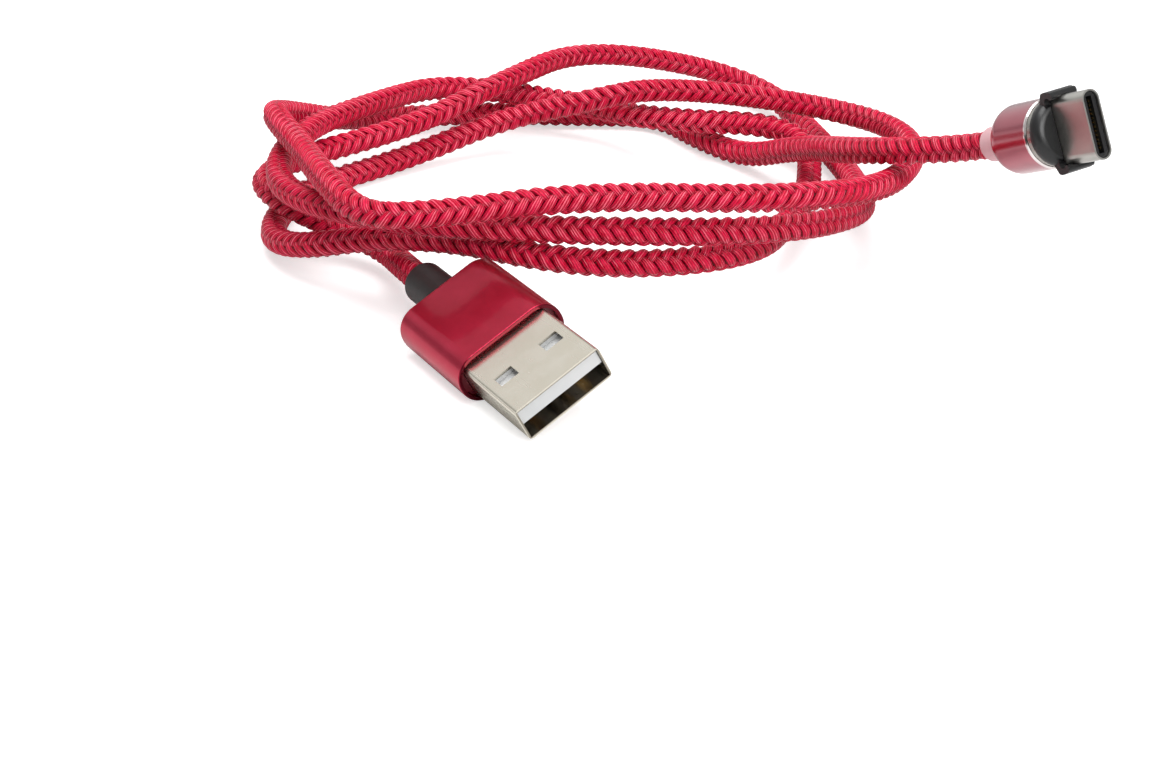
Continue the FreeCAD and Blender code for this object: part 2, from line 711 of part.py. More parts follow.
def arc_edge(start, heading, end):
    """Return the edge of the arc from start to end that leaves along heading, and its radius."""
    chord = end - start
    side = chord - heading * chord.dot(heading)
    if side.Length < 1e-4 * chord.Length:
        return Part.makeLine(start, end), float("inf")
    side = unit(side)
    cosine = chord.dot(heading) / chord.Length
    half = math.acos(max(-1.0, min(1.0, cosine)))
    radius = chord.Length / (2 * math.sin(half))
    middle = start + (heading * math.sin(half) + side * (1 - math.cos(half))) * radius
    return Part.Arc(start, middle, end).toShape(), radius


def biarc(start, start_heading, end, end_heading):
    """Join two places and headings by two arcs that meet smoothly."""
    across = end - start
    both = start_heading + end_heading
    spread = 2 * (1 - start_heading.dot(end_heading))
    along = across.dot(both)
    if spread < 1e-9:
        reach = across.dot(across) / (4 * across.dot(end_heading))
    else:
        reach = (-along + math.sqrt(along * along + spread * across.dot(across))) / spread
    meet = (start + end + (start_heading - end_heading) * reach) * 0.5
    first, first_radius = arc_edge(start, start_heading, meet)
    second, second_radius = arc_edge(end, end_heading * -1, meet)
    return [first, second], min(first_radius, second_radius)


def loops_spine(points):
    """Run biarcs from the middle of each control edge to the middle of the next."""
    edges, radii = [], []
    for before, corner, after in zip(points, points[1:], points[2:]):
        pair, radius = biarc((before + corner) * 0.5, unit(corner - before),
                             (corner + after) * 0.5, unit(after - corner))
        edges += pair
        radii.append(radius)
    return edges, min(radii)


def lead_spine(points):
    """Straight runs through hand-chosen points, joined by tangent arcs."""
    edges, radii = [], []
    place = points[0]
    for before, corner, after in zip(points, points[1:], points[2:]):
        come, go = unit(corner - before), unit(after - corner)
        turn = come.getAngle(go)
        cut = RUN_SHARE * min((corner - before).Length, (after - corner).Length)
        start, end = corner - come * cut, corner + go * cut
        edges.append(Part.makeLine(place, start))
        arc, radius = arc_edge(start, come, end)
        edges.append(arc)
        radii.append(cut / math.tan(turn / 2))
        place = end
    edges.append(Part.makeLine(place, points[-1]))
    return edges, radii


def tube(edges):
    """Sweep the cord's round section along joined edges."""
    wire = Part.Wire(edges)
    start = wire.OrderedVertexes[0].Point
    first = wire.OrderedEdges[0]
    starts_here = (first.valueAt(first.FirstParameter) - start).Length < first.Length / 2
    at = first.FirstParameter if starts_here else first.LastParameter
    circle = Part.Circle(start, first.tangentAt(at), size("cord_diameter") / 2)
    return wire, wire.makePipeShell([Part.Wire(circle.toShape())], True, False)


def sample(wire, spacing):
    """Points along a wire, with how far along each one lies."""
    count = int(wire.Length / spacing)
    return [(wire.Length * i / count, point) for i, point in enumerate(wire.discretize(Number=count + 1))]


def least_gap(points):
    """The least clear gap between parts of the cord that are more than a few diameters apart along it."""
    least, where = float("inf"), None
    skip = 4 * size("cord_diameter")
    for index, (along, point) in enumerate(points):
        for other_along, other in points[index + 1:]:
            if other_along - along > skip and (point - other).Length < least:
                least, where = (point - other).Length, (point, other)
    return least - size("cord_diameter"), where


def make_cord():
    """The cord in three nodes: the lead from the plug, the loops and the lead to the head."""
    plug_back = -size("sleeve_length") - size("collar_length")
    out_of_plug = [PLUG.multVec(Vector(plug_back - along, 0, 0)) for along in (0, PLUG_STRAIGHT)]
    head_back = -size("light_ring_length")
    into_head = [HEAD.multVec(Vector(head_back - along, 0, 0)) for along in (HEAD_STRAIGHT, 0)]
    plug_lead = out_of_plug + [Vector(*point) for point in PLUG_LEAD]
    loops = loop_points()
    head_lead = [Vector(*point) for point in HEAD_LEAD] + into_head
    into_loops = (plug_lead[-1] + loops[0]) * 0.5
    out_of_loops = (loops[-1] + head_lead[0]) * 0.5
    first_edges, first_radii = lead_spine(plug_lead + [into_loops])
    loop_edges, loop_radius = loops_spine([plug_lead[-1]] + loops + [head_lead[0]])
    last_edges, last_radii = lead_spine([out_of_loops] + head_lead)
    length, whole = 0.0, []
    parts = [("cord_plug_lead", first_edges), ("cord_loops", loop_edges), ("cord_head_lead", last_edges)]
    for label, edges in parts:
        wire, shape = tube(edges)
        solid_node(label, shape)
        section = math.pi * (size("cord_diameter") / 2) ** 2
        share = shape.Volume / (section * wire.Length)
        print(label, "length %.1f" % wire.Length, "volume share %.3f" % share)
        whole += [(length + along, point) for along, point in sample(wire, 2.0)]
        length += wire.Length
    print("bend radii, plug lead:", [round(radius, 1) for radius in first_radii])
    print("bend radii, head lead:", [round(radius, 1) for radius in last_radii])
    print("least bend radius in the loops: %.1f" % loop_radius)
    gap, (one, other) = least_gap(whole)
    print("least gap of the cord to itself: %.2f" % gap)
    print("it lies between", [round(v, 1) for v in one], "and", [round(v, 1) for v in other])
    print("lowest middle line: %.2f" % min(point.z for along, point in whole))


make_sleeve()
make_usb_a_shell()
make_contacts()
make_plug_inside()
make_collar()
make_barrel()
make_light_ring()
front = make_head_inside()
front = make_front_ring(front)
make_tip(front + size("tip_gap"))
make_cord()
doc.recompute()


def export():
    """Check every piece and write it under its label."""
    os.makedirs("parts", exist_ok=True)
    rigid = FreeCAD.BoundBox()
    for label, feature in nodes.items():
        shape = feature.Shape
        state = [word for word in feature.State if word in ("Invalid", "Error")]
        if state or shape.isNull() or not shape.isValid():
            raise RuntimeError("%s is not a sound solid: %s" % (label, state))
        shape.exportStep("parts/%s.step" % label)
        if not label.startswith("cord_"):
            rigid.add(shape.BoundBox)
    print("rigid pieces X %.2f to %.2f, Y %.2f to %.2f, Z %.2f to %.2f" % (
        rigid.XMin, rigid.XMax, rigid.YMin, rigid.YMax, rigid.ZMin, rigid.ZMax))
    print("pieces written:", len(nodes))


export()
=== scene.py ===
"""Magnetic charging cable with a braided red cord: looks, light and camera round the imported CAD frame.

Lengths are in metres, in the CAD's own frame, unless a name ends in _mm.
"""
import logging
import math
from dataclasses import dataclass, field
from enum import Enum
from typing import Iterable, Sequence

import bmesh
import bpy
import numpy as np
from mathutils import Euler, Matrix, Vector


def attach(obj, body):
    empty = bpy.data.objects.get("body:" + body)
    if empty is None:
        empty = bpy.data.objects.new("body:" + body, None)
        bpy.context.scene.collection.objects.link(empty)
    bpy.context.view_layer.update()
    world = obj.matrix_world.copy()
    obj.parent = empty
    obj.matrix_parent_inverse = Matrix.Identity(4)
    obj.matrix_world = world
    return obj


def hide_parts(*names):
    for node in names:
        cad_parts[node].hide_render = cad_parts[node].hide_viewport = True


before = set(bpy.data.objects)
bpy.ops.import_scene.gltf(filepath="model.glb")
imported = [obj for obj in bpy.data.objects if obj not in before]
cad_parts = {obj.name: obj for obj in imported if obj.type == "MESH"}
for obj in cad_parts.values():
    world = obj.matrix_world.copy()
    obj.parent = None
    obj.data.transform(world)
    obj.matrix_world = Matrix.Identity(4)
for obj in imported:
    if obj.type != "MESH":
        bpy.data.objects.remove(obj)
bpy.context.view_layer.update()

MM = 0.001
WHOLE_TURN = 2 * math.pi
WHITE = (1.0, 1.0, 1.0)
ROOT_BODY = "cable"
STRAND_MAP = "Strand"
Colour = tuple[float, float, float]
Point = tuple[float, float, float]
Span = tuple[float, float]
log = logging.getLogger("charging_cable")

# Camera: where it stands, how far it looks down and how wide it sees
CAMERA_AT = (-0.0192, -0.2254, 0.108)
CAMERA_DOWN_DEG = 26.0
CAMERA_LENS_MM = 64.6
CAMERA_SENSOR_MM = 36.0
CAMERA_NEAR = 0.01
CAMERA_FAR = 20.0

# The cord's route, point for point as the CAD has it, in millimetres
PLUG_AT_MM = (-27.6, -5.8, 5.24)
PLUG_TURN_DEG = (27.7, 1.0, -59.6)
PLUG_BACK_MM = 15.6 + 7.35
PLUG_STRAIGHT_MM = 3.8
PLUG_LEAD_MM = [
    (-46.0, 33.0, 2.6),
    (-62.5, 38.2, 7.8),
]
LOOPS_MIDDLE_MM = (-19.2, 54.6)
POINTS_PER_TURN = 12
TURN_REACH_MM = [
    (44.5, 28.5, 27.0, 47.5, 55.5, 41.5, 38.5, 43.0, 46.0, 43.5, 47.0, 47.5),
    (41.1, 36.1, 42.1, 29.0, 20.5, 38.5, 32.0, 32.5, 42.5, 44.1, 42.1, 49.1),
    (42.0, 30.0, 26.5, 18.5, 22.7, 40.1, 46.5, 47.8, 49.5, 43.0),
]
TURN_HEIGHT_MM = [
    (6.2, 7.2, 10.5, 9.2, 3.8, 2.0, 3.5, 7.0, 12.0, 13.5, 13.5, 11.2),
    (10.9, 9.6, 6.5, 5.5, 6.9, 5.4, 2.5, 5.0, 7.5, 9.0, 10.8, 2.9),
    (2.0, 2.0, 5.0, 9.5, 11.5, 8.5, 10.9, 12.1, 17.3, 18.0),
]
HEAD_LEAD_MM = [
    (-37.2, 7.6, 17.0),
    (-46.2, 8.6, 16.5),
    (-51.7, 20.6, 17.0),
    (-56.2, 35.6, 15.4),
    (-61.2, 47.6, 15.4),
    (-62.2, 53.0, 14.7),
    (-61.0, 62.1, 11.4),
    (-56.3, 75.2, 6.0),
    (-48.7, 86.6, 2.5),
    (-34.7, 90.1, 2.0),
    (-19.7, 89.1, 2.0),
    (-7.7, 88.6, 2.0),
    (-1.7, 77.6, 2.0),
    (4.8, 69.6, 2.0),
    (11.3, 55.9, 8.4),
    (17.2, 33.1, 15.9),
]
HEAD_AT_MM = (30.8, 18.1, 22.2)
HEAD_TURN_DEG = (5.5, -24.0, -63.5)
HEAD_STRAIGHT_MM = 6.0

# The weave: a bundle passes over two others and under the next two, which is one wave of four crossings.
# The two families ride highest at these crossings.
CROSSINGS_PER_WAVE = 4
RIGHT_HIGHEST_AT = 0.5
LEFT_HIGHEST_AT = 2.5
# A bundle's cross-section, as shares of its half width and half thickness, and its topmost corner
BUNDLE_SECTION = (
    (-1.0, -0.3), (-0.80, 0.30), (-0.44, 0.76), (0.0, 1.0),
    (0.44, 0.76), (0.80, 0.30), (1.0, -0.3), (0.0, -0.9),
)
CREST_CORNER = 3


def placement(at_mm: Sequence[float], turn_deg: Sequence[float]) -> Matrix:
    """Return a rigid piece's placement.

    Args:
        at_mm: Its origin, in millimetres.
        turn_deg: Its roll, pitch and yaw, in degrees.

    Returns:
        The matrix from the piece's own frame to the shared one, in metres.
    """
    turn = Euler([math.radians(angle) for angle in turn_deg], "XYZ")
    return Matrix.Translation(Vector(at_mm) * MM) @ turn.to_matrix().to_4x4()


PLUG = placement(PLUG_AT_MM, PLUG_TURN_DEG)
HEAD = placement(HEAD_AT_MM, HEAD_TURN_DEG)


class Look(Enum):
    """The finishes of the cable's pieces, by the record's material slots."""

    BRAID = "red_braid"
    RED_METAL = "red_anodised"
    SHELL_STEEL = "steel"
    BRIGHT_NICKEL = "bright_nickel"
    DARK_STEEL = "dark_steel"
    GOLD = "gold"
    WHITE_PLASTIC = "white_plastic"
    RED_PLASTIC = "red_plastic"
    BLACK_PLASTIC = "black_plastic"
    GREY_PLASTIC = "grey_plastic"
    FROSTED = "frosted_clear"
    BOARD = "board_green"
    MAGNET = "magnet_grey"
    SPRING = "spring_steel"
    COPPER = "copper"


class Value:
    """One output of a node tree, so that shader maths reads as Python."""

    def __init__(self, tree: "Tree", socket: bpy.types.NodeSocket) -> None:
        """Wrap a node's output socket."""
        self.tree = tree
        self.socket = socket

    def math(self, operation: str, *others: "Value | float") -> "Value":
        """Run a Math node on this value and the others."""
        return self.tree.node("ShaderNodeMath", {"operation": operation}, [self, *others])

    def __add__(self, other: "Value | float") -> "Value":
        """Add."""
        return self.math("ADD", other)

    __radd__ = __add__

    def __mul__(self, other: "Value | float") -> "Value":
        """Multiply."""
        return self.math("MULTIPLY", other)

    __rmul__ = __mul__

    def __sub__(self, other: "Value | float") -> "Value":
        """Subtract."""
        return self.math("SUBTRACT", other)

    def __rsub__(self, other: float) -> "Value":
        """Subtract this value from a number."""
        return self.tree.node("ShaderNodeMath", {"operation": "SUBTRACT"}, [other, self])

    def __abs__(self) -> "Value":
        """Drop the sign."""
        return self.math("ABSOLUTE")

    def sine(self) -> "Value":
        """Return the sine."""
        return self.math("SINE")

    def cosine(self) -> "Value":
        """Return the cosine."""
        return self.math("COSINE")

    def between(self, low: float, high: float, start: float = 0.0, end: float = 1.0) -> "Value":
        """Ramp smoothly from start to end as this value goes from low to high.

        Args:
            low: Where the ramp begins.
            high: Where the ramp ends.
            start: The result at and below low.
            end: The result at and above high.

        Returns:
            The ramped value.
        """
        settings = {"interpolation_type": "SMOOTHSTEP"}
        inputs = {"Value": self, "From Min": low, "From Max": high, "To Min": start, "To Max": end}
        return self.tree.node("ShaderNodeMapRange", settings, inputs)


class Tree:
    """The node tree of a material or of the world, with one method that adds any node."""

    def __init__(self, owner: bpy.types.Material | bpy.types.World) -> None:
        """Start the owner's tree with nothing in it but its output."""
        self.owner = owner
        owner.use_nodes = True
        self.nodes = owner.node_tree.nodes
        self.links = owner.node_tree.links
        self.nodes.clear()
        kind = "World" if isinstance(owner, bpy.types.World) else "Material"
        self.output = self.nodes.new(f"ShaderNodeOutput{kind}")

    @classmethod
    def of_material(cls, name: str) -> "Tree":
        """Start the tree of a new material of that name."""
        return cls(bpy.data.materials.new(name))

    def node(
        self,
        kind: str,
        settings: dict[str, object] | None = None,
        inputs: dict[str, object] | Sequence[object] | None = None,
        result: str | int = 0,
    ) -> Value:
        """Add a node.

        Args:
            kind: The node's type.
            settings: Its properties, such as a Math node's operation.
            inputs: Values or links by socket name, or in the sockets' order.
            result: The output that is wanted, by name or by its place in the row.

        Returns:
            That output, wrapped.
        """
        made = self.nodes.new(kind)
        for name, setting in (settings or {}).items():
            setattr(made, name, setting)
        pairs = inputs.items() if isinstance(inputs, dict) else enumerate(inputs or [])
        for key, given in pairs:
            self._feed(self._socket(made.inputs, key), given)
        return Value(self, self._socket(made.outputs, result))

    def _socket(self, row: Sequence[bpy.types.NodeSocket], key: str | int) -> bpy.types.NodeSocket:
        """Find an enabled socket by name, or any socket by its place in the row."""
        if isinstance(key, int):
            return row[key]
        return next(socket for socket in row if socket.name == key and socket.enabled)

    def _feed(self, socket: bpy.types.NodeSocket, given: object) -> None:
        """Link a wrapped output to a socket, or set its value.

        Args:
            socket: The input.
            given: A wrapped output, a colour, a vector or a number.
        """
        if isinstance(given, Value):
            self.links.new(given.socket, socket)
        elif socket.type == "RGBA":
            socket.default_value = (*given, 1.0)
        else:
            socket.default_value = given

    def place(self) -> Value:
        """Return the point in the piece's own coordinates, in metres."""
        return self.node("ShaderNodeTexCoord", result="Object")

    def local(self, part: Matrix) -> Value:
        """Return the point in a rigid part's own frame, through a Mapping node.

        Args:
            part: The part's placement.

        Returns:
            The point, in millimetres.
        """
        inverse = Matrix.Scale(1 / MM, 4) @ part.inverted()
        at, turn, _ = inverse.decompose()
        inputs = {
            "Vector": self.place(),
            "Location": at,
            "Rotation": turn.to_euler("XYZ"),
            "Scale": (1 / MM, 1 / MM, 1 / MM),
        }
        return self.node("ShaderNodeMapping", {"vector_type": "POINT"}, inputs)

    def split(self, vector: Value) -> tuple[Value, Value, Value]:
        """Return a vector's three numbers.

        Args:
            vector: The wrapped vector.

        Returns:
            Its x, y and z.
        """
        x = self.node("ShaderNodeSeparateXYZ", inputs=[vector])
        row = x.socket.node.outputs
        return x, Value(self, row[1]), Value(self, row[2])

    def join(self, x: Value | float, y: Value | float, z: Value | float) -> Value:
        """Return a vector of three numbers."""
        return self.node("ShaderNodeCombineXYZ", inputs=[x, y, z])

    def noise(self, vector: Value, scale: float, detail: float = 2.0, roughness: float = 0.5) -> Value:
        """Return noise from 0 to 1 over a vector."""
        inputs = {"Vector": vector, "Scale": scale, "Detail": detail, "Roughness": roughness}
        return self.node("ShaderNodeTexNoise", inputs=inputs)

    def mix(self, share: Value | float, first: Value | Colour, second: Value | Colour) -> Value:
        """Mix two colours by a share."""
        inputs = {"Factor": share, "A": first, "B": second}
        return self.node("ShaderNodeMix", {"data_type": "RGBA"}, inputs, "Result")

    def bump(self, height: Value, distance: float) -> Value:
        """Return the normal of a bumpy surface, whose height of 1 is that distance in metres."""
        return self.node("ShaderNodeBump", inputs={"Height": height, "Distance": distance}, result="Normal")

    def surface(self, shader: Value) -> None:
        """Give a shader to the tree's output."""
        self.links.new(shader.socket, self.output.inputs["Surface"])

    def finish(self, **inputs: object) -> bpy.types.Material:
        """End a material's tree in a Principled shader.

        Args:
            **inputs: Values or links by the socket's name, with underscores for its spaces.

        Returns:
            The material.
        """
        named = {name.replace("_", " ").replace("Ior", "IOR"): given for name, given in inputs.items()}
        self.surface(self.node("ShaderNodeBsdfPrincipled", inputs=named))
        return self.owner


@dataclass(frozen=True)
class BraidFinish:
    """Glossy crimson yarn in fine threads, with painted shade at a bundle's edges and where the bundle
    dives.

    Spans across a bundle are shares of the way round its section, measured from the crest.
    """

    base: Colour = (0.64, 0.004, 0.036)
    # Colour of the painted shade in crevices and thread grooves
    crevice_shade: Colour = (0.10, 0.0, 0.004)
    lit: Colour = (0.84, 0.015, 0.076)
    # Colour of the painted glints
    painted_glint: Colour = (0.98, 0.24, 0.32)
    crest: float = CREST_CORNER / len(BUNDLE_SECTION)
    threads: float = 8.0
    thread_depth: float = 0.00006
    groove_shade_share: float = 0.5
    waver: float = 5.0
    waver_scale: Span = (4.0, 1.6)
    patch_scale: float = 900.0
    patch_span: Span = (0.3, 0.7)
    edge_span: Span = (0.20, 0.35)
    dive_span: Span = (-0.65, 0.45)
    crevice_shade_share: float = 0.95
    glint_scale: Span = (9.0, 3.0)
    glint_layer: float = 0.5
    glint_span: Span = (0.44, 0.56)
    glint_thread_span: Span = (0.55, 0.95)
    glint_crest_span: Span = (0.08, 0.24)
    glint_share: float = 0.7
    roughness: float = 0.24
    roughness_rise: float = 0.14
    shine: float = 0.18

    def make(self) -> bpy.types.Material:
        """Make the yarn's material, from the strands' own UV map.

        Returns:
            The material.
        """
        tree = Tree.of_material("crimson_yarn")
        across, along, _ = tree.split(tree.node("ShaderNodeUVMap", {"uv_map": STRAND_MAP}))
        off_crest = abs(across - self.crest)
        bends = tree.join(across * self.waver_scale[0], along * self.waver_scale[1], 0.0)
        waver = tree.noise(bends, scale=1.0)
        threads = (across * (self.threads * WHOLE_TURN) + waver * self.waver).sine() * 0.5 + 0.5
        patch = tree.noise(tree.place(), self.patch_scale)
        # Painted shade: darker at a bundle's edges and where it dives under the others
        edge = off_crest.between(*self.edge_span)
        dive = (along * WHOLE_TURN).cosine().between(*self.dive_span, 1.0, 0.0)
        crevice_shade_mask = edge.math("MAXIMUM", dive)
        # Painted glints: pale pink flecks on thread tops near the crest
        spots = tree.join(across * self.glint_scale[0], along * self.glint_scale[1], self.glint_layer)
        painted_glint = tree.noise(spots, scale=1.0).between(*self.glint_span)
        painted_glint = threads.between(*self.glint_thread_span) * painted_glint
        painted_glint = painted_glint * off_crest.between(*self.glint_crest_span, 1.0, 0.0)
        colour = tree.mix(patch.between(*self.patch_span), self.base, self.lit)
        # Painted shade in the grooves between threads
        colour = tree.mix((1.0 - threads) * self.groove_shade_share, colour, self.crevice_shade)
        colour = tree.mix(painted_glint * self.glint_share, colour, self.painted_glint)
        colour = tree.mix(crevice_shade_mask * self.crevice_shade_share, colour, self.crevice_shade)
        return tree.finish(
            Base_Color=colour,
            Roughness=patch * self.roughness_rise + self.roughness,
            Specular_IOR_Level=self.shine,
            Normal=tree.bump(threads, self.thread_depth),
        )


@dataclass(frozen=True)
class CoreFinish:
    """The dark red jacket that shows between the bundles."""

    base: Colour = (0.07, 0.0, 0.003)
    lit: Colour = (0.14, 0.001, 0.008)
    grain_scale: float = 1500.0
    roughness: float = 0.6
    roughness_rise: float = 0.2

    def make(self) -> bpy.types.Material:
        """Make the jacket's material.

        Returns:
            The material.
        """
        tree = Tree.of_material("braid_jacket")
        grain = tree.noise(tree.place(), self.grain_scale)
        colour = tree.mix(grain, self.base, self.lit)
        return tree.finish(Base_Color=colour, Roughness=grain * self.roughness_rise + self.roughness)


@dataclass(frozen=True)
class MetalFinish:
    """A metal with a fine grain and slight wear, and painted shade that may darken a hollow or an end face.
    """

    name: str
    base: Colour
    worn: Colour
    roughness: float
    grain: float
    scale: float = 1500.0
    stretch: Point = (1.0, 1.0, 1.0)
    coat: float = 0.0
    coat_ior: float = 1.5
    coat_roughness: float = 0.08
    # Colour of the painted shade in a hollow and on an end face
    dark: Colour = (0.11, 0.085, 0.06)
    hollow_mm: Span | None = None
    hollow_shade_share: float = 0.7
    hollow_blend_mm: float = 0.1
    end_face_mm: float | None = None
    end_blend_mm: float = 0.08
    wear_scale: float = 0.35
    wear_span: Span = (0.35, 0.75)
    wear_share: float = 0.7
    grain_share: float = 0.15

    def make(self, part: Matrix) -> bpy.types.Material:
        """Make the metal's material, with its grain in a part's own directions.

        Args:
            part: The placement of the part that the metal is on.

        Returns:
            The material.
        """
        tree = Tree.of_material(self.name)
        place = tree.local(part)
        stretched = tree.node("ShaderNodeVectorMath", {"operation": "MULTIPLY"}, [place, self.stretch])
        grain = tree.noise(stretched, self.scale * MM, detail=4.0, roughness=0.6)
        wear = tree.noise(place, self.wear_scale, detail=3.0).between(*self.wear_span)
        colour = tree.mix(wear * self.wear_share + grain * self.grain_share, self.base, self.worn)
        x, y, z = tree.split(place)
        # Painted shade inside the hollow, such as the shell's mouth
        if self.hollow_mm:
            half_wide, half_high = self.hollow_mm
            inside = abs(y).between(half_wide, half_wide + self.hollow_blend_mm, 1.0, 0.0)
            inside = inside * abs(z).between(half_high, half_high + self.hollow_blend_mm, 1.0, 0.0)
            colour = tree.mix(inside * self.hollow_shade_share, colour, self.dark)
        # Painted shade on the end face
        if self.end_face_mm is not None:
            front = x.between(self.end_face_mm - self.end_blend_mm, self.end_face_mm)
            colour = tree.mix(front, colour, self.dark)
        return tree.finish(
            Base_Color=colour,
            Metallic=1.0,
            Roughness=grain * (2 * self.grain) + (self.roughness - self.grain),
            Coat_Weight=self.coat,
            Coat_Roughness=self.coat_roughness,
            Coat_Ior=self.coat_ior,
        )


@dataclass(frozen=True)
class PlasticFinish:
    """A moulded plastic with a fine surface grain."""

    name: str
    base: Colour
    shade: Colour
    roughness: float
    grain: float = 0.06
    scale: float = 2500.0
    grain_depth: float = 0.000004
    coat: float = 0.0
    transmission: float = 0.0
    patch_scale: float = 220.0
    patch_span: Span = (0.3, 0.7)

    def make(self) -> bpy.types.Material:
        """Make the plastic's material.

        Returns:
            The material.
        """
        tree = Tree.of_material(self.name)
        grain = tree.noise(tree.place(), self.scale, detail=3.0)
        patch = tree.noise(tree.place(), self.patch_scale)
        return tree.finish(
            Base_Color=tree.mix(patch.between(*self.patch_span), self.base, self.shade),
            Roughness=grain * (2 * self.grain) + (self.roughness - self.grain),
            Coat_Weight=self.coat,
            Transmission_Weight=self.transmission,
            Normal=tree.bump(grain, self.grain_depth),
        )


@dataclass(frozen=True)
class BoardFinish:
    """A green circuit board with copper tracks under its mask."""

    mask: Colour = (0.01, 0.14, 0.05)
    track: Colour = (0.03, 0.26, 0.09)
    track_pitch: float = 1.2 * MM
    track_span: Span = (0.2, 0.4)
    roughness: float = 0.35
    coat: float = 0.4

    def make(self) -> bpy.types.Material:
        """Make the board's material.

        Returns:
            The material.
        """
        tree = Tree.of_material("circuit_board")
        x, y, _ = tree.split(tree.place())
        tracks = ((x + y) * (WHOLE_TURN / self.track_pitch)).sine().between(*self.track_span)
        colour = tree.mix(tracks, self.mask, self.track)
        return tree.finish(Base_Color=colour, Roughness=self.roughness, Coat_Weight=self.coat)


class Finishes:
    """Every material of the cable, made once and handed out by look, or by piece where one has its own."""

    def __init__(self) -> None:
        """Make the materials."""
        self.core = CoreFinish().make()
        self.by_piece = {
            "head_barrel": MetalFinish(
                "red_anodised_barrel", base=(0.40, 0.035, 0.075), worn=(0.46, 0.05, 0.09),
                roughness=0.26, grain=0.03, scale=1800.0, stretch=(1.0, 0.3, 0.3),
                coat=1.0, coat_ior=1.85, coat_roughness=0.18,
            ).make(HEAD),
            "head_front_ring": MetalFinish(
                "bright_ring", base=(0.88, 0.80, 0.79), worn=(0.92, 0.86, 0.85),
                roughness=0.16, grain=0.03,
            ).make(HEAD),
        }
        self.by_look = {
            Look.BRAID: BraidFinish().make(),
            # Painted shade darkens the sleeve's front face
            Look.RED_METAL: MetalFinish(
                "red_anodised", base=(0.50, 0.014, 0.050), worn=(0.58, 0.022, 0.066),
                roughness=0.33, grain=0.03, scale=1800.0, stretch=(0.25, 1.0, 1.0),
                coat=0.25, dark=(0.14, 0.004, 0.014), end_face_mm=-0.02,
            ).make(PLUG),
            # Painted shade darkens the inside of the shell's mouth
            Look.SHELL_STEEL: MetalFinish(
                "stamped_steel", base=(0.77, 0.725, 0.615), worn=(0.83, 0.79, 0.69),
                roughness=0.27, grain=0.02, scale=900.0, stretch=(0.12, 1.0, 1.0), hollow_mm=(5.85, 2.0),
            ).make(PLUG),
            Look.BRIGHT_NICKEL: MetalFinish(
                "bright_nickel", base=(0.50, 0.49, 0.46), worn=(0.58, 0.57, 0.53),
                roughness=0.30, grain=0.03,
            ).make(HEAD),
            Look.DARK_STEEL: MetalFinish(
                "dark_steel", base=(0.36, 0.35, 0.32), worn=(0.44, 0.43, 0.40),
                roughness=0.25, grain=0.06,
            ).make(HEAD),
            Look.GOLD: MetalFinish(
                "gold_plate", base=(0.83, 0.58, 0.22), worn=(0.95, 0.72, 0.35),
                roughness=0.2, grain=0.05,
            ).make(PLUG),
            Look.WHITE_PLASTIC: PlasticFinish(
                "white_insulator", base=(0.58, 0.59, 0.59), shade=(0.64, 0.64, 0.64),
                roughness=0.35,
            ).make(),
            Look.RED_PLASTIC: PlasticFinish(
                "dark_red_plastic", base=(0.13, 0.006, 0.016), shade=(0.17, 0.009, 0.022),
                roughness=0.4,
            ).make(),
            Look.BLACK_PLASTIC: PlasticFinish(
                "black_plastic", base=(0.005, 0.005, 0.0055), shade=(0.009, 0.009, 0.0095),
                roughness=0.4, coat=0.1,
            ).make(),
            Look.GREY_PLASTIC: PlasticFinish(
                "grey_collar", base=(0.011, 0.008, 0.008), shade=(0.017, 0.013, 0.013),
                roughness=0.48, scale=1800.0, grain_depth=0.00001,
            ).make(),
            Look.FROSTED: PlasticFinish(
                "frosted_ring", base=(0.90, 0.46, 0.50), shade=(0.95, 0.58, 0.62),
                roughness=0.45, transmission=0.2,
            ).make(),
            Look.BOARD: BoardFinish().make(),
            Look.MAGNET: MetalFinish(
                "magnet", base=(0.35, 0.35, 0.36), worn=(0.45, 0.45, 0.46),
                roughness=0.3, grain=0.08,
            ).make(HEAD),
            Look.SPRING: MetalFinish(
                "spring_steel", base=(0.5, 0.5, 0.5), worn=(0.6, 0.6, 0.6),
                roughness=0.25, grain=0.05,
            ).make(HEAD),
            Look.COPPER: MetalFinish(
                "copper", base=(0.70, 0.32, 0.18), worn=(0.8, 0.42, 0.26),
                roughness=0.3, grain=0.05,
            ).make(PLUG),
        }

    def dress(self, name: str, look: Look) -> None:
        """Put a CAD node's own material on every slot of it, or else its look's.

        Args:
            name: The node's name.
            look: Its look.
        """
        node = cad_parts[name]
        material = self.by_piece.get(name, self.by_look[look])
        if not node.material_slots:
            node.data.materials.append(material)
        for slot in node.material_slots:
            slot.material = material
        log.info("%s: %s", name, look.value)


@dataclass(frozen=True)
class Lamp:
    """A soft rectangular lamp."""

    name: str
    at: Point
    aim: Point
    width: float
    depth: float
    watts: float

    def hang(self) -> None:
        """Hang the lamp so that it faces its aim."""
        data = bpy.data.lights.new(self.name, "AREA")
        data.shape = "RECTANGLE"
        data.size = self.width
        data.size_y = self.depth
        data.energy = self.watts
        lamp = bpy.data.objects.new(self.name, data)
        lamp.location = self.at
        lamp.rotation_euler = (Vector(self.aim) - Vector(self.at)).to_track_quat("-Z", "Y").to_euler()
        bpy.context.scene.collection.objects.link(lamp)


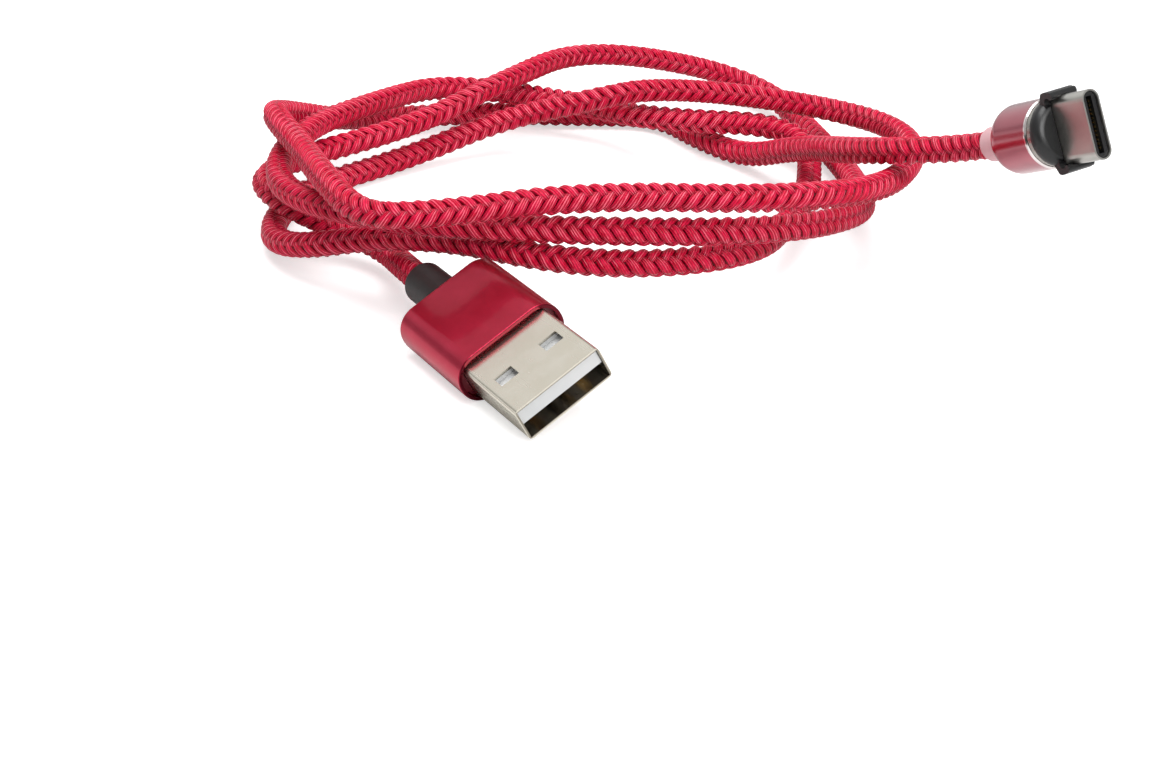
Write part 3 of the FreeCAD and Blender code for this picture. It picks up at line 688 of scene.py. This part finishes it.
@dataclass
class Studio:
    """Pale floor, soft lamps and the camera."""

    floor_half: float = 3.0
    floor_colour: Colour = (0.70, 0.70, 0.70)
    floor_lift: float = 0.56
    surroundings: float = 0.40
    card_half_wide: float = 1.5
    card_half_high: float = 0.29
    card_at: Point = (0.0, -1.3, 0.31)
    card_dark: Colour = (0.02, 0.02, 0.02)
    card_light: Colour = (0.03, 0.03, 0.03)
    card_grain_scale: float = 3.0
    card_roughness: float = 0.9
    lamps: tuple[Lamp, ...] = (
        Lamp("top_light", (-0.05, -0.01, 0.60), (-0.01, 0.02, 0.0), width=0.45, depth=0.4, watts=2.9),
        Lamp("back_light", (-0.51, 0.60, 0.63), (-0.02, 0.0, 0.01), width=0.9, depth=0.8, watts=0.85),
        Lamp("horizon_light", (-0.25, 0.90, 0.22), (0.03, 0.02, 0.02), width=1.5, depth=0.3, watts=0.5),
        Lamp("front_light", (0.25, -0.55, 0.45), (0.0, 0.02, 0.01), width=0.5, depth=0.4, watts=3.9),
    )

    def camera(self) -> None:
        """Stand the camera where the photograph was taken from."""
        data = bpy.data.cameras.new("camera")
        data.lens = CAMERA_LENS_MM
        data.sensor_width = CAMERA_SENSOR_MM
        data.sensor_fit = "HORIZONTAL"
        data.clip_start = CAMERA_NEAR
        data.clip_end = CAMERA_FAR
        eye = bpy.data.objects.new("camera", data)
        eye.location = CAMERA_AT
        eye.rotation_euler = (math.radians(90.0 - CAMERA_DOWN_DEG), 0.0, 0.0)
        bpy.context.scene.collection.objects.link(eye)
        bpy.context.scene.camera = eye

    def sheet(self, name: str, place: Matrix) -> bpy.types.Object:
        """Make a flat sheet of the stage.

        Args:
            name: Its name.
            place: What takes a square from -1 to 1 to the sheet's size and place.

        Returns:
            The sheet.
        """
        mesh = bpy.data.meshes.new(name)
        square = bmesh.new()
        bmesh.ops.create_grid(square, x_segments=1, y_segments=1, size=1.0, matrix=place)
        square.to_mesh(mesh)
        square.free()
        sheet = bpy.data.objects.new(name, mesh)
        bpy.context.scene.collection.objects.link(sheet)
        return sheet

    def floor(self) -> None:
        """Lay the floor, which looks white to the camera and keeps the shadows."""
        floor = self.sheet("floor", Matrix.Scale(self.floor_half, 4))
        tree = Tree.of_material("floor")
        plain = tree.node("ShaderNodeBsdfDiffuse", inputs={"Color": self.floor_colour})
        seen = tree.node("ShaderNodeLightPath", result="Is Camera Ray")
        glow = tree.node("ShaderNodeEmission", inputs={"Color": WHITE, "Strength": seen * self.floor_lift})
        tree.surface(tree.node("ShaderNodeAddShader", inputs=[plain, glow]))
        floor.data.materials.append(tree.owner)

    def dark_card(self) -> None:
        """Stand a dark card behind the camera, which draws the dark lines in the bright metal."""
        size = Matrix.Diagonal((self.card_half_wide, self.card_half_high, 1.0, 1.0))
        upright = Matrix.Rotation(math.radians(90.0), 4, "X")
        card = self.sheet("dark_card", Matrix.Translation(self.card_at) @ upright @ size)
        tree = Tree.of_material("dark_card")
        grain = tree.noise(tree.place(), self.card_grain_scale)
        colour = tree.mix(grain, self.card_dark, self.card_light)
        card.data.materials.append(tree.finish(Base_Color=colour, Roughness=self.card_roughness))

    def world(self) -> None:
        """Surround everything with soft light, which the camera sees as white paper."""
        world = bpy.data.worlds.new("world")
        bpy.context.scene.world = world
        tree = Tree(world)
        seen = tree.node("ShaderNodeLightPath", result="Is Camera Ray")
        strength = seen * (1.0 - self.surroundings) + self.surroundings
        tree.surface(tree.node("ShaderNodeBackground", inputs={"Color": WHITE, "Strength": strength}))

    def build(self) -> None:
        """Set the whole studio up, with colours that come out as they are written."""
        bpy.context.scene.view_settings.view_transform = "Standard"
        self.camera()
        self.floor()
        self.world()
        self.dark_card()
        for lamp in self.lamps:
            lamp.hang()


@dataclass
class BraidedCord:
    """The cord: its smooth route, the jacket inside and eight bundles woven round it.

    The weave also turns about the cord by twist_deg at the places twist_at, and evenly between them.
    """

    diameter: float = 3.6 * MM
    jacket: float = 2.6 * MM
    jacket_steps: int = 2
    read_steps: int = 16
    drawn_steps: int = 10
    pitch: float = 1.76 * MM
    bundles: int = 4
    over: float = 1.36 * MM
    under: float = 0.94 * MM
    flatness: float = 0.75
    half_width: float = 0.76 * MM
    half_thick: float = 0.48 * MM
    taper: float = 0.18
    twist_at: tuple[float, ...] = (0.0, 0.247, 0.488, 0.735, 0.980)
    twist_deg: tuple[float, ...] = (40.0, 168.0, 5.0, -90.0, -200.0)
    steps_per_pitch: int = 8
    bundles_per_piece: int = 2
    points: list[Vector] = field(default_factory=list)

    def route(self) -> list[Vector]:
        """Work out the control points from the plug's collar to the head's light ring.

        Returns:
            The points, in metres.
        """
        behind_plug = (PLUG_BACK_MM, PLUG_BACK_MM + PLUG_STRAIGHT_MM)
        out_of_plug = [PLUG @ Vector((-along * MM, 0, 0)) for along in behind_plug]
        into_head = [HEAD @ Vector((-along * MM, 0, 0)) for along in (HEAD_STRAIGHT_MM, 0.0)]
        lead = [Vector(point) * MM for point in PLUG_LEAD_MM]
        loops = []
        step = WHOLE_TURN / POINTS_PER_TURN
        for reaches, heights in zip(TURN_REACH_MM, TURN_HEIGHT_MM):
            for number, (reach, height) in enumerate(zip(reaches, heights)):
                angle = math.pi - number * step
                loops.append(Vector((
                    LOOPS_MIDDLE_MM[0] + reach * math.cos(angle),
                    LOOPS_MIDDLE_MM[1] + reach * math.sin(angle),
                    height,
                )) * MM)
        tail = [Vector(point) * MM for point in HEAD_LEAD_MM]
        return out_of_plug + lead + loops + tail + into_head

    def spline(self) -> bpy.types.Object:
        """Draw the route as one NURBS spline.

        Returns:
            The curve, with no thickness yet.
        """
        self.points = self.route()
        data = bpy.data.curves.new("braided_cord", "CURVE")
        data.dimensions = "3D"
        data.resolution_u = self.read_steps
        line = data.splines.new("NURBS")
        line.points.add(len(self.points) - 1)
        for knot, point in zip(line.points, self.points):
            knot.co = (*point, 1.0)
        line.order_u = 3
        line.use_endpoint_u = True
        cord = bpy.data.objects.new("braided_cord", data)
        bpy.context.scene.collection.objects.link(cord)
        return cord

    def read_line(self, cord: bpy.types.Object) -> np.ndarray:
        """Read evenly spaced points from the route's spline, about a step of the weave apart.

        Args:
            cord: The curve, with no bevel.

        Returns:
            The points, one a row.
        """
        bpy.context.view_layer.update()
        graph = bpy.context.evaluated_depsgraph_get()
        mesh = bpy.data.meshes.new_from_object(cord.evaluated_get(graph))
        places = np.zeros(len(mesh.vertices) * 3)
        mesh.vertices.foreach_get("co", places)
        bpy.data.meshes.remove(mesh)
        places = places.reshape(-1, 3)
        steps = np.linalg.norm(np.diff(places, axis=0), axis=1)
        along = np.concatenate([[0.0], np.cumsum(steps)])
        count = int(round(along[-1] / (self.pitch / self.steps_per_pitch)))
        even = np.linspace(0.0, along[-1], count + 1)
        return np.stack([np.interp(even, along, places[:, axis]) for axis in range(3)], axis=1)

    def frames(self, line: np.ndarray) -> tuple[np.ndarray, np.ndarray]:
        """Carry two directions along the line without twist.

        Args:
            line: Points along the route.

        Returns:
            Two directions square to the line and to each other, one a row.
        """
        tangents = np.gradient(line, axis=0)
        tangents /= np.linalg.norm(tangents, axis=1, keepdims=True)
        side = np.zeros_like(line)
        start = np.cross(tangents[0], (0.0, 0.0, 1.0))
        side[0] = start / np.linalg.norm(start)
        for index in range(1, len(line)):
            moved = side[index - 1] - tangents[index] * side[index - 1].dot(tangents[index])
            side[index] = moved / np.linalg.norm(moved)
        return side, np.cross(tangents, side)

    def bundle(
        self,
        line: np.ndarray,
        side: np.ndarray,
        up: np.ndarray,
        way: int,
        number: int,
    ) -> tuple[np.ndarray, np.ndarray, np.ndarray]:
        """Lay one bundle: it goes over two of the others and under the next two.

        Args:
            line: Points along the route.
            side: One direction square to it at each point.
            up: The other direction.
            way: 1 for a bundle that winds to the right and -1 to the left.
            number: Which of its family it is.

        Returns:
            The bundle's middle line, the outward direction at each point, and how many times it has risen
            and dived since its own highest place.
        """
        turns = np.arange(len(line)) / self.steps_per_pitch
        angle = WHOLE_TURN / self.bundles * (number + way * turns)
        travel = np.arange(len(line)) * self.pitch / self.steps_per_pitch
        angle = angle + np.radians(np.interp(travel, self.twist_at, self.twist_deg))
        crossing = 2 * (number + way * turns)
        highest = RIGHT_HIGHEST_AT if way > 0 else LEFT_HIGHEST_AT
        cycles = (crossing - highest) / CROSSINGS_PER_WAVE
        wave = np.cos(WHOLE_TURN * cycles)
        wave = np.sign(wave) * np.abs(wave) ** self.flatness
        reach = (self.over + self.under) / 2 + (self.over - self.under) / 2 * wave
        out = side * np.cos(angle)[:, None] + up * np.sin(angle)[:, None]
        return line + out * reach[:, None], out, cycles

    def rings(self, middle: np.ndarray, out: np.ndarray, cycles: np.ndarray) -> np.ndarray:
        """Set a bundle's cross-section at each point of its middle line.

        Args:
            middle: The bundle's middle line.
            out: The outward direction at each point.
            cycles: How far it is through its waves there.

        Returns:
            The section's corners, one ring a row.
        """
        width = self.half_width * (1 - self.taper + self.taper * np.cos(WHOLE_TURN * cycles))
        heading = np.gradient(middle, axis=0)
        heading /= np.linalg.norm(heading, axis=1, keepdims=True)
        across = np.cross(out, heading)
        across /= np.linalg.norm(across, axis=1, keepdims=True)
        corners = [middle + across * (wide * width)[:, None] + out * (high * self.half_thick)
                   for wide, high in BUNDLE_SECTION]
        return np.stack(corners, axis=1)

    def skin(self, cycles: np.ndarray) -> tuple[np.ndarray, np.ndarray]:
        """Join a bundle's rings into a skin.

        Args:
            cycles: How far the bundle is through its waves at each ring.

        Returns:
            Each face's four corners by number, and the places of all corners on the strand's UV map.
        """
        around = len(BUNDLE_SECTION)
        row = np.arange(len(cycles) - 1)[:, None] * around
        column = np.arange(around)[None, :]
        following = (column + 1) % around
        quads = np.stack(
            [row + column, row + around + column, row + around + following, row + following], -1)
        shape = quads.shape[:2]
        u = np.broadcast_to(column, shape)
        before = np.broadcast_to(cycles[:-1, None], shape)
        after = np.broadcast_to(cycles[1:, None], shape)
        corners = [(u, before), (u, after), (u + 1, after), (u + 1, before)]
        spots = np.stack([np.stack([a / around, b], -1) for a, b in corners], 2)
        return quads.reshape(-1, 4), spots.reshape(-1, 2)

    def weave(self, name: str, line: np.ndarray, members: Iterable[tuple[int, int]],
              material: bpy.types.Material) -> bpy.types.Object:
        """Make one piece of several bundles.

        Args:
            name: The piece's name.
            line: Points along the route.
            members: The way and number of each bundle.
            material: The yarn's material.

        Returns:
            The piece.
        """
        side, up = self.frames(line)
        points, faces, spots = [], [], []
        for way, number in members:
            middle, out, cycles = self.bundle(line, side, up, way, number)
            quads, places = self.skin(cycles)
            faces.append(quads + sum(len(block) for block in points))
            spots.append(places)
            points.append(self.rings(middle, out, cycles).reshape(-1, 3))
        mesh = bpy.data.meshes.new(name)
        mesh.from_pydata(np.concatenate(points), [], np.concatenate(faces).tolist())
        layer = mesh.uv_layers.new(name=STRAND_MAP)
        layer.data.foreach_set("uv", np.concatenate(spots).astype(np.float32).ravel())
        piece = bpy.data.objects.new(name, mesh)
        bpy.context.scene.collection.objects.link(piece)
        self.close_ends(piece)
        mesh.shade_smooth()
        mesh.materials.append(material)
        return piece

    def close_ends(self, piece: bpy.types.Object) -> None:
        """Cap the bundles and point their faces outwards.

        Args:
            piece: The bundles' piece, open at both ends.
        """
        work = bmesh.new()
        work.from_mesh(piece.data)
        rim = [edge for edge in work.edges if edge.is_boundary]
        bmesh.ops.holes_fill(work, edges=rim, sides=0)
        bmesh.ops.recalc_face_normals(work, faces=work.faces)
        work.to_mesh(piece.data)
        work.free()

    def build(self, finishes: Finishes) -> None:
        """Args:
            finishes: The cable's materials.
        """
        cord = self.spline()
        line = self.read_line(cord)
        cord.data.bevel_depth = self.jacket / 2
        cord.data.bevel_resolution = self.jacket_steps
        cord.data.resolution_u = self.drawn_steps
        cord.data.use_fill_caps = True
        cord.data.materials.append(finishes.core)
        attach(cord, ROOT_BODY)
        members = [(way, number) for way in (1, -1) for number in range(self.bundles)]
        for start in range(0, len(members), self.bundles_per_piece):
            name = f"braid_bundles_{start // self.bundles_per_piece + 1}"
            piece = self.weave(name, line, members[start:start + self.bundles_per_piece],
                               finishes.by_look[Look.BRAID])
            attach(piece, ROOT_BODY)
            log.info("%s: %d faces", name, len(piece.data.polygons))
        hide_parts("cord_plug_lead", "cord_loops", "cord_head_lead")


@dataclass
class RigidPart:
    """A sub-assembly whose pieces are all CAD nodes, which are dressed and otherwise left as they are."""

    looks: dict[str, Look]

    def build(self, finishes: Finishes) -> None:
        """Dress the pieces."""
        for name, look in self.looks.items():
            finishes.dress(name, look)


@dataclass
class Plug(RigidPart):
    """The USB-A plug."""

    looks: dict[str, Look] = field(default_factory=lambda: {
        "usb_a_sleeve": Look.RED_METAL,
        "usb_a_shell": Look.SHELL_STEEL,
        "usb_a_tongue": Look.WHITE_PLASTIC,
        "usb_a_contacts": Look.GOLD,
        "usb_a_circuit_board": Look.BOARD,
        "usb_a_inner_frame": Look.RED_PLASTIC,
        "usb_a_back_cap": Look.BLACK_PLASTIC,
        "usb_a_wires": Look.COPPER,
        "usb_a_collar": Look.GREY_PLASTIC,
    })


@dataclass
class Head(RigidPart):
    """The magnetic head and its removable tip."""

    looks: dict[str, Look] = field(default_factory=lambda: {
        "head_barrel": Look.RED_METAL,
        "head_light_ring": Look.FROSTED,
        "head_rear_insert": Look.BLACK_PLASTIC,
        "head_circuit_board": Look.BOARD,
        "head_light": Look.WHITE_PLASTIC,
        "head_wires": Look.COPPER,
        "head_magnet": Look.MAGNET,
        "head_plunger_tube": Look.GOLD,
        "head_contact_carrier": Look.BLACK_PLASTIC,
        "head_ring_contact": Look.GOLD,
        "head_plunger": Look.GOLD,
        "head_plunger_spring": Look.SPRING,
        "head_front_ring": Look.BRIGHT_NICKEL,
        "tip_steel_ring": Look.DARK_STEEL,
        "tip_body": Look.BLACK_PLASTIC,
        "tip_centre_contact": Look.GOLD,
        "tip_ring_contact": Look.GOLD,
        "tip_circuit_board": Look.BOARD,
        "usb_c_shell": Look.BRIGHT_NICKEL,
        "usb_c_insert": Look.BLACK_PLASTIC,
        "usb_c_contacts": Look.GOLD,
    })


def main() -> None:
    """Build the studio, the cord, the plug and the head."""
    logging.basicConfig(level=logging.INFO, format="%(name)s: %(message)s")
    Studio().build()
    finishes = Finishes()
    BraidedCord().build(finishes)
    Plug().build(finishes)
    Head().build(finishes)


if __name__ == "__main__":
    main()
